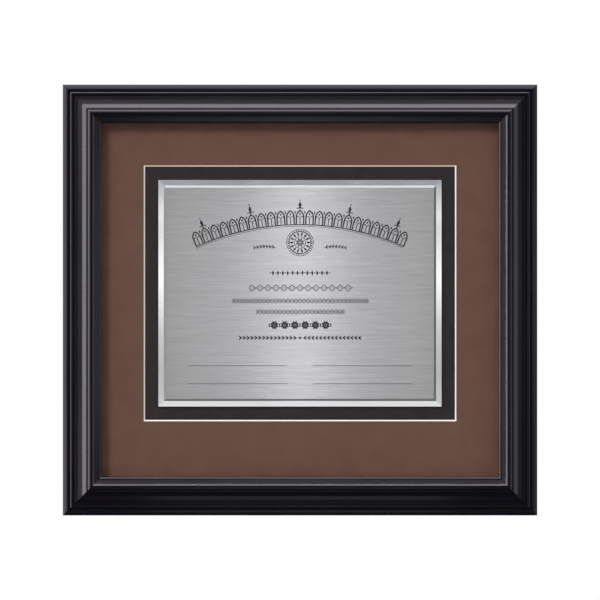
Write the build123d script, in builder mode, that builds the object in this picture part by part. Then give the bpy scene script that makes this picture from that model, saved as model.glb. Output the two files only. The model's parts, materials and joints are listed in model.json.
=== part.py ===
from build123d import *
from collections import namedtuple
import os

# A wall-hung certificate frame. Four mitred mouldings hold a package of flat layers in their
# rabbet: glazing, spacers, window mat, mount board with a metal plaque, filler and backing.
# X runs to the viewer's right, Z up and Y back to the wall. The origin lies on the wall plane,
# behind the middle of the frame. All sizes are millimetres.

# The plaque: a plate with a polished bevel, and a thin brushed sheet on its front.
plaque_width = 254.0
plaque_height = 203.2
plaque_thickness = 3.2
plaque_edge_thickness = 1.2
plaque_bevel_width = 4.8
face_inset = 0.2
face_thickness = 1.6
face_edge_thickness = 0.9
face_bevel_width = 1.9
tape_thickness = 0.8
tape_width = 19.0
tape_gap = 0.8
tape_edge_margin = 14.0

# The window mat: a suede facing on a pale core, cut with a bevelled window.
mat_reveal = 12.0
mat_core_thickness = 1.2
mat_facing_thickness = 0.3
mat_side_border = 37.6
mat_top_border = 37.4
mat_bottom_border = 49.5

# The other layers, and the room that they have in the rabbet.
backing_thickness = 3.0
backing_recess = 0.15
filler_thickness = 3.0
mount_thickness = 1.5
spacer_depth = 6.0
spacer_width = 5.0
spacer_wall = 0.9
glazing_thickness = 2.0
rabbet_width = 6.35
rabbet_clearance = 0.8

# The moulding, from its outer side to its sight edge. Widths run across the face, rises and
# drops to and from the wall, and a bulge or a hollow is how far an arc stands off its chord.
outer_round = 1.0
outer_fillet_width = 3.3
outer_fillet_rise = 1.15
outer_fillet_bulge = 0.1
outer_quirk_width = 1.9
outer_quirk_drop = 1.55
outer_reed_width = 2.6
outer_reed_rise = 1.0
outer_reed_bulge = 0.33
inner_quirk_width = 1.5
inner_quirk_drop = 1.7
outer_quirk_depth = 1.2
low_fillet_width = 3.4
low_fillet_rise = 0.6
step_rise = 1.7
high_fillet_width = 3.5
high_fillet_rise = 0.85
cove_width = 3.7
cove_rise = 3.3
cove_hollow = 0.29
cove_lip_width = 0.4
cove_lip_rise = 0.2
crown_quirk_width = 1.3
crown_quirk_depth = 0.8
crown_reed_width = 2.4
crown_reed_rise = 1.1
crown_reed_bulge = 0.14
shoulder_quirk_width = 1.6
shoulder_drop = 1.0
ovolo_width = 2.1
ovolo_drop = 1.8
ovolo_bulge = 0.2
ovolo_fillet_width = 1.0
ovolo_fillet_drop = 0.2
inner_fillet_width = 2.2
inner_fillet_drop = 0.7
nose_fillet_width = 0.8
nose_width = 1.9
nose_drop = 1.8
nose_bulge = 0.46
sight_edge_height = 1.6

# Corner fasteners, driven into the mitres from behind.
nail_leg = 6.0
nail_gauge = 0.7
nail_depth = 9.0
nail_corner_distances = (8.5, 19.0)

# Turn buttons and their screws.
wall_gap = 3.2
button_thickness = 1.0
button_clearance = 0.15
button_eye_radius = 5.0
button_tip_radius = 3.2
button_reach = 15.0
button_rib_length = 9.0
button_rib_width = 1.8
button_rib_height = 0.4
button_rib_taper_degrees = 45.0
button_pivot_margin = 8.2
button_spacing_share = 0.43
screw_radius = 1.5
screw_running_clearance = 0.08
screw_pilot_clearance = 0.02
screw_length = 12.0
screw_head_radius = 2.8
screw_head_height = 1.6

# Sawtooth hangers and their tacks.
hanger_length = 45.0
hanger_height = 10.0
hanger_gauge = 0.8
hanger_foot = 7.5
hanger_ramp = 2.2
hanger_rise = 1.6
hanger_corner = 2.0
hanger_tooth_pitch = 2.8
hanger_tooth_depth = 1.8
hanger_edge_distance = 13.0
hanger_spacing_share = 0.64
tack_radius = 0.8
tack_length = 11.0
tack_head_radius = 1.9
tack_head_height = 0.9

# Bumpers at the lower corners, which keep the frame off the wall.
bumper_radius = 6.0
bumper_chamfer = 1.2
bumper_edge_distance = 14.0

# One overrun serves every cut.
overrun = 1.0

# Sizes that follow from the ones above.
face_margin = plaque_bevel_width + face_inset
mat_thickness = mat_core_thickness + mat_facing_thickness
window_width = plaque_width + 2 * mat_reveal
window_height = plaque_height + 2 * mat_reveal
window_rise = (mat_bottom_border - mat_top_border) / 2
sight_width = window_width + 2 * (mat_thickness + mat_side_border)
sight_height = window_height + 2 * mat_thickness + mat_top_border + mat_bottom_border
board_overlap = rabbet_width - rabbet_clearance
board_width = sight_width + 2 * board_overlap
board_height = sight_height + 2 * board_overlap

# Depths run forward from the back of the moulding.
filler_back = backing_recess + backing_thickness
mount_back = filler_back + filler_thickness
mat_back = mount_back + mount_thickness
facing_back = mat_back + mat_core_thickness
spacer_back = facing_back + mat_facing_thickness
glazing_back = spacer_back + spacer_depth
lip_back = glazing_back + glazing_thickness
plaque_back = mat_back + tape_thickness
face_back = plaque_back + plaque_thickness

# Places across the moulding, from its outer side.
outer_quirk_at = outer_round + outer_fillet_width
outer_reed_at = outer_quirk_at + outer_quirk_width
inner_quirk_at = outer_reed_at + outer_reed_width
low_fillet_at = inner_quirk_at + inner_quirk_width
high_fillet_at = low_fillet_at + low_fillet_width
cove_at = high_fillet_at + high_fillet_width
cove_lip_at = cove_at + cove_width
crown_quirk_at = cove_lip_at + cove_lip_width
crown_reed_at = crown_quirk_at + crown_quirk_width
shoulder_at = crown_reed_at + crown_reed_width
ovolo_at = shoulder_at + shoulder_quirk_width
ovolo_fillet_at = ovolo_at + ovolo_width
inner_fillet_at = ovolo_fillet_at + ovolo_fillet_width
nose_fillet_at = inner_fillet_at + inner_fillet_width
nose_at = nose_fillet_at + nose_fillet_width
rail_width = nose_at + nose_width
rabbet_at = rail_width - rabbet_width

# Depths of the moulding's face, from the sight edge up to the crown and down to the outer side.
nose_foot = lip_back + sight_edge_height
nose_front = nose_foot + nose_drop
ovolo_fillet_foot = nose_front + inner_fillet_drop
ovolo_foot = ovolo_fillet_foot + ovolo_fillet_drop
ovolo_front = ovolo_foot + ovolo_drop
crown_front = ovolo_front + shoulder_drop
crown_reed_foot = crown_front - crown_reed_rise
cove_front = crown_reed_foot - cove_lip_rise
cove_foot = cove_front - cove_rise
high_fillet_foot = cove_foot - high_fillet_rise
low_fillet_front = high_fillet_foot - step_rise
low_fillet_foot = low_fillet_front - low_fillet_rise
outer_reed_front = low_fillet_foot + inner_quirk_drop
outer_reed_foot = outer_reed_front - outer_reed_rise
outer_fillet_front = outer_reed_foot + outer_quirk_drop
outer_fillet_foot = outer_fillet_front - outer_fillet_rise
outer_side_depth = outer_fillet_foot - outer_round
outer_width = sight_width + 2 * rail_width
outer_height = sight_height + 2 * rail_width

# A side of the frame: its way out, the way its length runs, its half sizes and its two ends.
Side = namedtuple("Side", "name outward along half_across half_length ends")
top = Side("top", Vector(0, 0, 1), Vector(-1, 0, 0),
           outer_height / 2, outer_width / 2, ("right", "left"))
bottom = Side("bottom", Vector(0, 0, -1), Vector(1, 0, 0),
              outer_height / 2, outer_width / 2, ("left", "right"))
left = Side("left", Vector(-1, 0, 0), Vector(0, 0, -1),
            outer_width / 2, outer_height / 2, ("upper", "lower"))
right = Side("right", Vector(1, 0, 0), Vector(0, 0, 1),
             outer_width / 2, outer_height / 2, ("lower", "upper"))
sides = (top, bottom, left, right)
back = Vector(0, 1, 0)


def facing(depth):
    """The plane at a depth before the moulding's back, seen from the front."""
    return Plane(origin=-back * (wall_gap + depth), x_dir=Vector(1, 0, 0), z_dir=-back)


def rear(side, inward=0.0, along=0.0):
    """The moulding's back on one side: X runs inward, Y along the rail and Z to the wall."""
    middle = side.outward * (side.half_across - inward) + side.along * along
    return Plane(origin=middle - back * wall_gap, x_dir=-side.outward, z_dir=back)


def across(side, inward=0.0):
    """The plane that cuts a side in half: X runs inward, Y to the front and Z along the rail."""
    edge = side.outward * (side.half_across - inward) - back * wall_gap
    return Plane(origin=edge, x_dir=-side.outward, z_dir=side.along)


def finish(part, name):
    """Labels a finished piece and writes its file."""
    part.label = name
    export_step(part, f"parts/{name}.step")


os.makedirs("parts", exist_ok=True)

# Turn buttons sit in pairs on every side, and their screws share those places.
button_inward = rabbet_at - button_pivot_margin
button_places = {
    side.name: [
        rear(side, button_inward, end * side.half_length * button_spacing_share).location
        for end in (-1, 1)
    ]
    for side in sides
}

# Two hangers sit on the top rail, and each has a tack through either foot.
hanger_places = [
    rear(top, hanger_edge_distance, end * top.half_length * hanger_spacing_share).location
    for end in (-1, 1)
]
tack_offset = (hanger_length - hanger_foot) / 2
tack_places = [
    place * Location((0, end * tack_offset, hanger_gauge)) for place in hanger_places for end in (-1, 1)
]

# Corner fasteners: strips folded to a right angle, one leg in each rail of a mitre.
with BuildPart() as corner_v_nails:
    with BuildSketch(facing(0)):
        for distance in nail_corner_distances:
            with Locations((-outer_width / 2 + distance, outer_height / 2 - distance)):
                Rectangle(nail_leg, nail_gauge, align=(Align.MIN, Align.MAX))
                Rectangle(nail_gauge, nail_leg, align=(Align.MIN, Align.MAX))
    extrude(amount=nail_depth)
    mirror(about=Plane.YZ)
    mirror(about=Plane.XY)
finish(corner_v_nails.part, "corner_v_nails")


def quirk(before, after, depth):
    """A flat-bottomed groove between two points of the moulding's face, below the second one."""
    floor = after[1] - depth
    Polyline(before, (before[0], floor), (after[0], floor), after)


def moulding_section(plane):
    """The moulding's section, with its width inward along X and its depth along Y."""
    with BuildSketch(plane) as section:
        with BuildLine():
            Line((0, 0), (0, outer_side_depth))
            TangentArc((0, outer_side_depth), (outer_round, outer_fillet_foot), tangent=(0, 1))
            fillet_front = (outer_quirk_at, outer_fillet_front)
            SagittaArc((outer_round, outer_fillet_foot), fillet_front, outer_fillet_bulge)
            quirk(fillet_front, (outer_reed_at, outer_reed_foot), outer_quirk_depth)
            reed_front = (inner_quirk_at, outer_reed_front)
            SagittaArc((outer_reed_at, outer_reed_foot), reed_front, outer_reed_bulge)
            quirk(reed_front, (low_fillet_at, low_fillet_foot), outer_quirk_depth)
            Polyline((low_fillet_at, low_fillet_foot), (high_fillet_at, low_fillet_front),
                     (high_fillet_at, high_fillet_foot), (cove_at, cove_foot))
            SagittaArc((cove_at, cove_foot), (cove_lip_at, cove_front), -cove_hollow)
            lip_front = (crown_quirk_at, crown_reed_foot)
            Line((cove_lip_at, cove_front), lip_front)
            quirk(lip_front, (crown_reed_at, crown_reed_foot), crown_quirk_depth)
            crown = (shoulder_at, crown_front)
            SagittaArc((crown_reed_at, crown_reed_foot), crown, crown_reed_bulge)
            quirk(crown, (ovolo_at, ovolo_front), crown_quirk_depth)
            SagittaArc((ovolo_at, ovolo_front), (ovolo_fillet_at, ovolo_foot), ovolo_bulge)
            Polyline((ovolo_fillet_at, ovolo_foot), (inner_fillet_at, ovolo_fillet_foot),
                     (nose_fillet_at, nose_front), (nose_at, nose_front))
            SagittaArc((nose_at, nose_front), (rail_width, nose_foot), nose_bulge)
            Polyline((rail_width, nose_foot), (rail_width, lip_back), (rabbet_at, lip_back),
                     (rabbet_at, 0), (0, 0))
        make_face()
    return section


# Rails: lengths of moulding with mitred ends, drilled for what is fixed to their backs.
for side in sides:
    section = moulding_section(across(side))
    with BuildPart() as rail:
        extrude(section.sketch, amount=side.half_length, both=True)
        for end in (-1, 1):
            corner = across(side).origin + side.along * end * side.half_length
            split(bisect_by=Plane(origin=corner, z_dir=side.along * end - side.outward),
                  keep=Keep.BOTTOM)
        add(corner_v_nails.part, mode=Mode.SUBTRACT)
        with Locations(*button_places[side.name]):
            Hole(screw_radius + screw_pilot_clearance, depth=screw_length)
        if side is top:
            with Locations(*tack_places):
                Hole(tack_radius + screw_pilot_clearance, depth=tack_length)
    finish(rail.part, f"rail_{side.name}")


def layer(name, depth, thickness):
    """A flat sheet of the package, which fills the rabbet but for its clearance."""
    with BuildPart() as sheet:
        with BuildSketch(facing(depth)):
            Rectangle(board_width, board_height)
        extrude(amount=thickness)
    finish(sheet.part, name)


layer("backing_board", backing_recess, backing_thickness)
layer("filler_board", filler_back, filler_thickness)
layer("mount_board", mount_back, mount_thickness)
layer("glazing", glazing_back, glazing_thickness)


def mat_layer(name, depth, thickness):
    """One ply of the window mat. Its window widens towards the front at 45 degrees."""
    with BuildPart() as ply:
        with BuildSketch(facing(depth)):
            Rectangle(board_width, board_height)
        extrude(amount=thickness)
        for level in (depth, depth + thickness):
            widening = 2 * (level - mat_back)
            with BuildSketch(facing(level)):
                with Locations((0, window_rise)):
                    Rectangle(window_width + widening, window_height + widening)
        loft(mode=Mode.SUBTRACT)
    finish(ply.part, name)


mat_layer("mat_core", mat_back, mat_core_thickness)
mat_layer("mat_facing", facing_back, mat_facing_thickness)

# Spacers: hollow plastic strips behind the lip, which hold the glazing off the mat. The upright
# ones fit between the other two.
for side in sides:
    spacer_half_length = side.half_length - rabbet_at - rabbet_clearance
    if side in (left, right):
        spacer_half_length -= spacer_width
    with BuildPart() as spacer:
        with BuildSketch(across(side, rabbet_at + rabbet_clearance)):
            with Locations((spacer_width / 2, spacer_back + spacer_depth / 2)):
                Rectangle(spacer_width, spacer_depth)
                Rectangle(spacer_width - 2 * spacer_wall, spacer_depth - 2 * spacer_wall,
                          mode=Mode.SUBTRACT)
        extrude(amount=spacer_half_length, both=True)
    finish(spacer.part, f"spacer_{side.name}")


def bevelled_plate(name, depth, thickness, edge, width, height, bevel):
    """A plate whose front edges are bevelled back to a thin edge."""
    with BuildPart() as plate:
        with BuildSketch(facing(depth)):
            with Locations((0, window_rise)):
                Rectangle(width, height)
        extrude(amount=edge)
        with BuildSketch(facing(depth + edge)):
            with Locations((0, window_rise)):
                Rectangle(width, height)
        with BuildSketch(facing(depth + thickness)):
            with Locations((0, window_rise)):
                Rectangle(width - 2 * bevel, height - 2 * bevel)
        loft()
    finish(plate.part, name)


bevelled_plate("plaque_plate", plaque_back, plaque_thickness, plaque_edge_thickness,
               plaque_width, plaque_height, plaque_bevel_width)
bevelled_plate("plaque_face", face_back, face_thickness, face_edge_thickness,
               plaque_width - 2 * face_margin, plaque_height - 2 * face_margin, face_bevel_width)

# Foam tapes bond the plaque to the mount board: two run across it, and two stand between them.
tape_span = plaque_width - 2 * tape_edge_margin
tape_drop = plaque_height - 2 * tape_edge_margin
with BuildPart() as plaque_tapes:
    with BuildSketch(facing(mat_back)):
        with Locations((0, window_rise)):
            with GridLocations(0, tape_drop - tape_width, 1, 2):
                Rectangle(tape_span, tape_width)
            with GridLocations(tape_span - tape_width, 0, 2, 1):
                Rectangle(tape_width, tape_drop - 2 * (tape_width + tape_gap))
    extrude(amount=tape_thickness)
finish(plaque_tapes.part, "plaque_tapes")

# Screw for a turn button: a cheese head on a plain shank. Its own Z runs to the wall from the
# moulding's back.
screw_seat = 2 * button_clearance + button_thickness
screw_top = screw_seat + screw_head_height
with BuildPart() as screw:
    with BuildSketch(Plane.XZ):
        with BuildLine():
            Polyline((0, -screw_length), (screw_radius, -screw_length), (screw_radius, screw_seat),
                     (screw_head_radius, screw_seat), (screw_head_radius, screw_top),
                     (0, screw_top), close=True)
        make_face()
    revolve(axis=Axis.Z)

with BuildPart() as turn_button_screws:
    for side in sides:
        with Locations(*button_places[side.name]):
            add(screw.part)
finish(turn_button_screws.part, "turn_button_screws")

# Turn button: a pear-shaped steel plate that turns on its screw. A pressed rib stiffens it.
with BuildPart() as turn_button:
    with BuildSketch(Plane.XY.offset(button_clearance)):
        Circle(button_eye_radius)
        with Locations((button_reach - button_tip_radius, 0)):
            Circle(button_tip_radius)
        make_hull()
        Circle(screw_radius + screw_running_clearance, mode=Mode.SUBTRACT)
    extrude(amount=button_thickness)
    with BuildSketch(Plane.XY.offset(button_clearance + button_thickness)):
        with Locations(((screw_head_radius + button_reach) / 2, 0)):
            Rectangle(button_rib_length, button_rib_width)
    extrude(amount=button_rib_height, taper=button_rib_taper_degrees)

for side in sides:
    for end, place in zip(side.ends, button_places[side.name]):
        with BuildPart() as placed_button:
            with Locations(place):
                add(turn_button.part)
        finish(placed_button.part, f"turn_button_{side.name}_{end}")

# Sawtooth hanger: a joggled steel strip, whose teeth point down over the wall nail.
# Its own X runs down the frame, Y along the rail and Z to the wall.
foot_end = hanger_length / 2 - hanger_foot
bridge_end = foot_end - hanger_ramp
tooth_count = int(2 * bridge_end / hanger_tooth_pitch)
with BuildPart() as hanger:
    with BuildSketch(Plane.YZ):
        with BuildLine():
            under = [(hanger_length / 2, 0), (foot_end, 0), (bridge_end, hanger_rise)]
            over = [(y, z + hanger_gauge) for y, z in reversed(under)]
            Polyline(*under, *[(-y, z) for y, z in reversed(under)],
                     *[(-y, z) for y, z in reversed(over)], *over, close=True)
        make_face()
    extrude(amount=hanger_height / 2, both=True)
    ends = hanger.edges().filter_by(Axis.Z).group_by(Axis.Y)
    chamfer(ends[0] + ends[-1], length=hanger_corner)
    with BuildSketch(Plane.XY.offset(hanger_rise)):
        with Locations((hanger_height / 2, 0)):
            with GridLocations(0, hanger_tooth_pitch, 1, tooth_count):
                with BuildLine():
                    Polyline((-hanger_tooth_depth, 0), (overrun, -hanger_tooth_pitch / 2),
                             (overrun, hanger_tooth_pitch / 2), close=True)
                make_face()
    extrude(amount=hanger_gauge, mode=Mode.SUBTRACT)
    with Locations((0, tack_offset, hanger_gauge), (0, -tack_offset, hanger_gauge)):
        Hole(tack_radius + screw_pilot_clearance, depth=hanger_gauge + overrun)

for end, place in zip(top.ends, hanger_places):
    with BuildPart() as placed_hanger:
        with Locations(place):
            add(hanger.part)
    finish(placed_hanger.part, f"sawtooth_hanger_{end}")

# Hanger tack: a flat head on a plain shank. Its own Z starts on the hanger's foot.
with BuildPart() as tack:
    with BuildSketch(Plane.XZ):
        with BuildLine():
            Polyline((0, -tack_length), (tack_radius, -tack_length), (tack_radius, 0),
                     (tack_head_radius, 0), (tack_head_radius, tack_head_height),
                     (0, tack_head_height), close=True)
        make_face()
    revolve(axis=Axis.Z)

with BuildPart() as hanger_tacks:
    with Locations(*tack_places):
        add(tack.part)
finish(hanger_tacks.part, "hanger_tacks")

# Rubber bumpers at the lower corners, as thick as the gap to the wall.
for end, way in zip(bottom.ends, (-1, 1)):
    along = way * (bottom.half_length - bumper_edge_distance)
    with BuildPart() as bumper:
        with BuildSketch(rear(bottom, bumper_edge_distance, along)):
            Circle(bumper_radius)
        extrude(amount=wall_gap)
        chamfer(bumper.edges().sort_by(Axis.Y)[-1], length=bumper_chamfer)
    finish(bumper.part, f"wall_bumper_{end}")
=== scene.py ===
import json
import math
import bmesh
import bpy
from mathutils import Matrix, Vector


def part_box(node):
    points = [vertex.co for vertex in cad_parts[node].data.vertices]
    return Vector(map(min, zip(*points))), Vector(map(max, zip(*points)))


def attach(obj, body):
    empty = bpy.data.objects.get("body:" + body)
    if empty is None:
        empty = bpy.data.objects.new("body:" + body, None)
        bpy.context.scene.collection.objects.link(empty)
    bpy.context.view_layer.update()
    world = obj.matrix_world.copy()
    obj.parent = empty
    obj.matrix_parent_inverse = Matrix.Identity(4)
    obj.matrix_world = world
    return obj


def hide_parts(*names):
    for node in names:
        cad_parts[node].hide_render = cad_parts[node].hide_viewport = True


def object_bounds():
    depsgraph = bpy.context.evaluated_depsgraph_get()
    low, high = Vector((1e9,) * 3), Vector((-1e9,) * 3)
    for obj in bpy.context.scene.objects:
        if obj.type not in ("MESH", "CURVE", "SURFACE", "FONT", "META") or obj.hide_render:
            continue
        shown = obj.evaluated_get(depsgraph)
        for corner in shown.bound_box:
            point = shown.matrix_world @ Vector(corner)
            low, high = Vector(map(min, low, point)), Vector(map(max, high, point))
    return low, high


# A wall-hung certificate frame, dressed over its fixed model. X runs to the viewer's right, Z up
# and Y back to the wall. Sizes are written in millimetres and multiplied by mm.
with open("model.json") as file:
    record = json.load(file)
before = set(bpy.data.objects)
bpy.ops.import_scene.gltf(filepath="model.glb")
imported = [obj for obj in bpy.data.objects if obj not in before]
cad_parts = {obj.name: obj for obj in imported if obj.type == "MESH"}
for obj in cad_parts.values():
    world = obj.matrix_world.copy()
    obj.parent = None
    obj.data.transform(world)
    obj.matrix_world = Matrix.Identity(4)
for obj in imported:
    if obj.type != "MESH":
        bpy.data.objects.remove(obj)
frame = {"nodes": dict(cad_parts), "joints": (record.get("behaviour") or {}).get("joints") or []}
cad_low, cad_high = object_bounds()
mm = 0.001

# Camera: the photograph looks square on at the frame through a long lens. The outer edges of
# the mouldings span 474.8 of the picture's 600 pixels.
picture_pixels = 600
frame_pixels = 474.8
camera_distance = 12.0
square_on = (math.radians(90), 0, 0)
edge_low, edge_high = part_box("rail_bottom")
picture_width = (edge_high.x - edge_low.x) * picture_pixels / frame_pixels
camera = bpy.data.objects.new("camera", bpy.data.cameras.new("camera"))
camera.data.lens = camera.data.sensor_width * camera_distance / picture_width
camera.location = (0, edge_low.y - camera_distance, 0)
camera.rotation_euler = square_on
bpy.context.collection.objects.link(camera)
bpy.context.scene.camera = camera
bpy.context.scene.view_settings.view_transform = "Standard"

# Studio: a white room seen by the lens, and a fill that is stronger from above. What is polished
# sees wide glows to the left and above, weaker ones to the right and behind, and little below.
fill_strength = 0.72
fill_slope = 0.28
room_base = 0.05
room_tint = (1.01, 0.97, 1.045, 1)
white = (1, 1, 1, 1)
glow_curve = 1.2
glows = {
    "left": {"axis": (-1, 0, 0), "starts": 0.36, "ends": 1.03, "level": 4.8},
    "upper": {"axis": (0, 0, 1), "starts": 0.35, "ends": 1.0, "level": 4.8},
    "right": {"axis": (0.97, 0.2, 0), "starts": 0.15, "ends": 1.0, "level": 1.1},
    "rear": {"axis": (0, 1, 0), "starts": 0.3, "ends": 1.0, "level": 0.55},
}


def join(tree, source, socket):
    """Links a socket, or a node's first output, to an input, or sets the input to a value."""
    if isinstance(source, bpy.types.Node):
        source = source.outputs[0]
    if isinstance(source, bpy.types.NodeSocket):
        tree.links.new(source, socket)
    else:
        socket.default_value = source


def feed(tree, target, **sources):
    """Feeds a node's inputs by name. A name's underscores stand for spaces."""
    for name, source in sources.items():
        join(tree, source, target.inputs[name.replace("_", " ")])


def add_node(tree, kind, **given):
    """Adds a node. A name that starts with a capital is an input, and the rest are its settings."""
    made = tree.nodes.new(kind)
    for name, value in given.items():
        if name[0].islower():
            setattr(made, name, value)
    feed(tree, made, **{name: source for name, source in given.items() if name[0].isupper()})
    return made


def calculate(tree, operation, *values):
    """A maths node's result."""
    made = add_node(tree, "ShaderNodeMath", operation=operation)
    for value, socket in zip(values, made.inputs):
        join(tree, value, socket)
    return made.outputs[0]


def ranged(tree, value, low, high, to_low=0.0, to_high=1.0):
    """A value's place in a range, from 0 to 1 or spread over another range."""
    return add_node(tree, "ShaderNodeMapRange", Value=value, From_Min=low, From_Max=high,
                    To_Min=to_low, To_Max=to_high).outputs["Result"]


def parts_of(tree, vector):
    """The X, Y and Z of a vector."""
    made = add_node(tree, "ShaderNodeSeparateXYZ", Vector=vector)
    return made.outputs["X"], made.outputs["Y"], made.outputs["Z"]


def mixed(tree, share, first, second):
    """A shader between two others."""
    made = add_node(tree, "ShaderNodeMixShader")
    for source, socket in zip((share, first, second), made.inputs):
        join(tree, source, socket)
    return made.outputs[0]


world = bpy.data.worlds.new("studio")
bpy.context.scene.world = world
world.use_nodes = True
tree = world.node_tree
tree.nodes.clear()
ray = add_node(tree, "ShaderNodeLightPath").outputs
direction = add_node(tree, "ShaderNodeTexCoord").outputs["Generated"]
room_level = room_base
for glow in glows.values():
    towards = add_node(tree, "ShaderNodeVectorMath", operation="DOT_PRODUCT")
    join(tree, direction, towards.inputs[0])
    join(tree, Vector(glow["axis"]).normalized(), towards.inputs[1])
    share = ranged(tree, towards.outputs["Value"], glow["starts"], glow["ends"])
    curved = calculate(tree, "POWER", share, glow_curve)
    room_level = calculate(tree, "MULTIPLY_ADD", curved, glow["level"], room_level)
skyward = parts_of(tree, direction)[2]
fill_level = calculate(tree, "MULTIPLY_ADD", skyward, fill_slope, fill_strength)
fill = add_node(tree, "ShaderNodeBackground", Color=white, Strength=fill_level)
room = add_node(tree, "ShaderNodeBackground", Color=room_tint, Strength=room_level)
backdrop = add_node(tree, "ShaderNodeBackground", Color=white, Strength=1.0)
seen_directly = calculate(tree, "MAXIMUM", ray["Is Camera Ray"], ray["Is Transmission Ray"])
lit_room = mixed(tree, ray["Is Glossy Ray"], fill, room)
add_node(tree, "ShaderNodeOutputWorld", Surface=mixed(tree, seen_directly, lit_room, backdrop))

# The main lamp hangs to the upper left of the lens, and lays the lip's soft shadow on the mat.
# The rear lamp lights the back in the same way.
lamp_size = 1.8
lamps = {"main_lamp": ((-3.2, -4.2, 3.5), 246), "rear_lamp": ((3.2, 4.2, 3.4), 160)}
for name, (lamp_place, energy) in lamps.items():
    lamp = bpy.data.objects.new(name, bpy.data.lights.new(name, "AREA"))
    lamp.data.shape = "DISK"
    lamp.data.size = lamp_size
    lamp.data.energy = energy
    lamp.location = lamp_place
    lamp.rotation_euler = (-Vector(lamp_place)).to_track_quat("-Z", "Y").to_euler()
    lamp.visible_camera = False
    lamp.visible_glossy = False
    bpy.context.collection.objects.link(lamp)

# Floor: a pale sweep well below the frame, which keeps its shadow. From below it is clear, so that
# the frame's underside can be seen too.
floor_radius = 3.9
floor_level = -0.5
floor_corners = 96
floor_colour = (0.86, 0.86, 0.86, 1)


def make_mesh(name, vertices, faces, material, edges=()):
    """A new object at the origin, made of the given points, edges and faces."""
    mesh = bpy.data.meshes.new(name)
    mesh.from_pydata(vertices, edges, faces)
    if material:
        mesh.materials.append(material)
    made = bpy.data.objects.new(name, mesh)
    bpy.context.collection.objects.link(made)
    return made


def plain_material(name, **values):
    """A material whose one shader holds the given constants on its own sockets."""
    material = bpy.data.materials.new(name)
    material.use_nodes = True
    feed(material.node_tree, material.node_tree.nodes["Principled BSDF"], **values)
    return material


floor_paint = plain_material("pale_floor", Base_Color=floor_colour, Roughness=0.8)
tree = floor_paint.node_tree
seen_side = add_node(tree, "ShaderNodeNewGeometry").outputs["Backfacing"]
clear = add_node(tree, "ShaderNodeBsdfTransparent")
floor_surface = mixed(tree, seen_side, tree.nodes["Principled BSDF"], clear)
feed(tree, tree.nodes["Material Output"], Surface=floor_surface)
rim = [Matrix.Rotation(math.tau * step / floor_corners, 3, "Z") @ Vector((floor_radius, 0, floor_level))
       for step in range(floor_corners)]
floor = make_mesh("floor", rim, [range(floor_corners)], floor_paint)
floor.visible_glossy = False
floor.visible_diffuse = False

# Cards: one before the plaque for its brushed sheet, and strips for its two polished bevels. A
# bevel reflects the strip that lies at twice its tilt, a little further out for the lens. A
# ramp's pairs are a place along the card, from 0 to 1, and the colour there.


def reflected_card(name, centre, across, up, ramp, along):
    """A card that only polished surfaces see. Its brightness runs along one of its directions."""
    centre, across, up = Vector(centre), Vector(across), Vector(up)
    material = bpy.data.materials.new(name)
    material.use_nodes = True
    card_tree = material.node_tree
    card_tree.nodes.clear()
    axis = "XYZ".index(along)
    reach = (across if along == "X" else up).length / 2
    place = parts_of(card_tree, add_node(card_tree, "ShaderNodeTexCoord").outputs["Object"])[axis]
    position = ranged(card_tree, place, centre[axis] - reach, centre[axis] + reach)
    tones = add_node(card_tree, "ShaderNodeValToRGB", Fac=position)
    stops = tones.color_ramp.elements
    for index, (share, colour) in enumerate(ramp):
        stop = stops[index] if index < len(stops) else stops.new(share)
        stop.position = share
        stop.color = (*colour, 1)
    glow = add_node(card_tree, "ShaderNodeEmission", Color=tones)
    add_node(card_tree, "ShaderNodeOutputMaterial", Surface=glow)
    corners = [centre + across * x / 2 + up * z / 2 for x, z in ((-1, -1), (1, -1), (1, 1), (-1, 1))]
    card = make_mesh(name, corners, [(0, 1, 2, 3)], material)
    card.visible_camera = False
    card.visible_diffuse = False
    card.visible_transmission = False
    card.visible_shadow = False


def grey(level, tint=(1, 1, 1)):
    """A colour of one brightness, with a slight tint."""
    return tuple(level * share for share in tint)


cool = (0.94, 1.0, 1.1)
lilac = (0.995, 0.985, 1.03)
plate_low, plate_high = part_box("plaque_plate")
plate_middle = (plate_low + plate_high) / 2
plate_half = (plate_high - plate_low) / 2
front_card_gap = 0.5
front_card_width, front_card_height = 0.3, 0.29
half_tones = ((0.0, grey(0.56)), (0.09, grey(0.5)), (0.19, grey(0.46)), (0.267, grey(0.45, lilac)),
              (0.345, grey(0.52, lilac)), (0.422, grey(0.71, lilac)))
other_tones = [(1 - share, tone) for share, tone in reversed(half_tones)]
card_tones = [*half_tones, (0.5, grey(1.19, lilac)), *other_tones]
reflected_card("front_card", (0, plate_low.y - front_card_gap, plate_middle.z), (front_card_width, 0, 0),
               (0, 0, front_card_height), card_tones, "X")
strip_gap = 0.22
strip_length_share = 1.1


def bevel_strips(name, half, bevel_middle, tilt, depth, ramps):
    """Strips that the four sides of a bevel reflect. Half is half the size of what is bevelled."""
    for side, ramp in ramps.items():
        outward = {"upper": Vector((0, 0, 1)), "lower": Vector((0, 0, -1)),
                   "left": Vector((-1, 0, 0)), "right": Vector((1, 0, 0))}[side]
        upright = side in ("left", "right")
        outer, along = (half.x, half.z) if upright else (half.z, half.x)
        angle = 2 * tilt + math.atan((outer - bevel_middle) / camera_distance)
        centre = outward * (outer - bevel_middle + strip_gap * math.tan(angle))
        centre += Vector((0, plate_low.y - strip_gap, plate_middle.z))
        slope = (outward + Vector((0, 1, 0))) * depth
        length = 2 * (along - bevel_middle) * strip_length_share
        if upright:
            reflected_card(f"{side}_{name}", centre, slope, (0, 0, length), ramp, "Z")
        else:
            reflected_card(f"{side}_{name}", centre, (length, 0, 0), slope, ramp, "X")


def even(level, tint=(1, 1, 1)):
    """A ramp of one brightness."""
    return [(0, grey(level, tint)), (1, grey(level, tint))]


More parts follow.
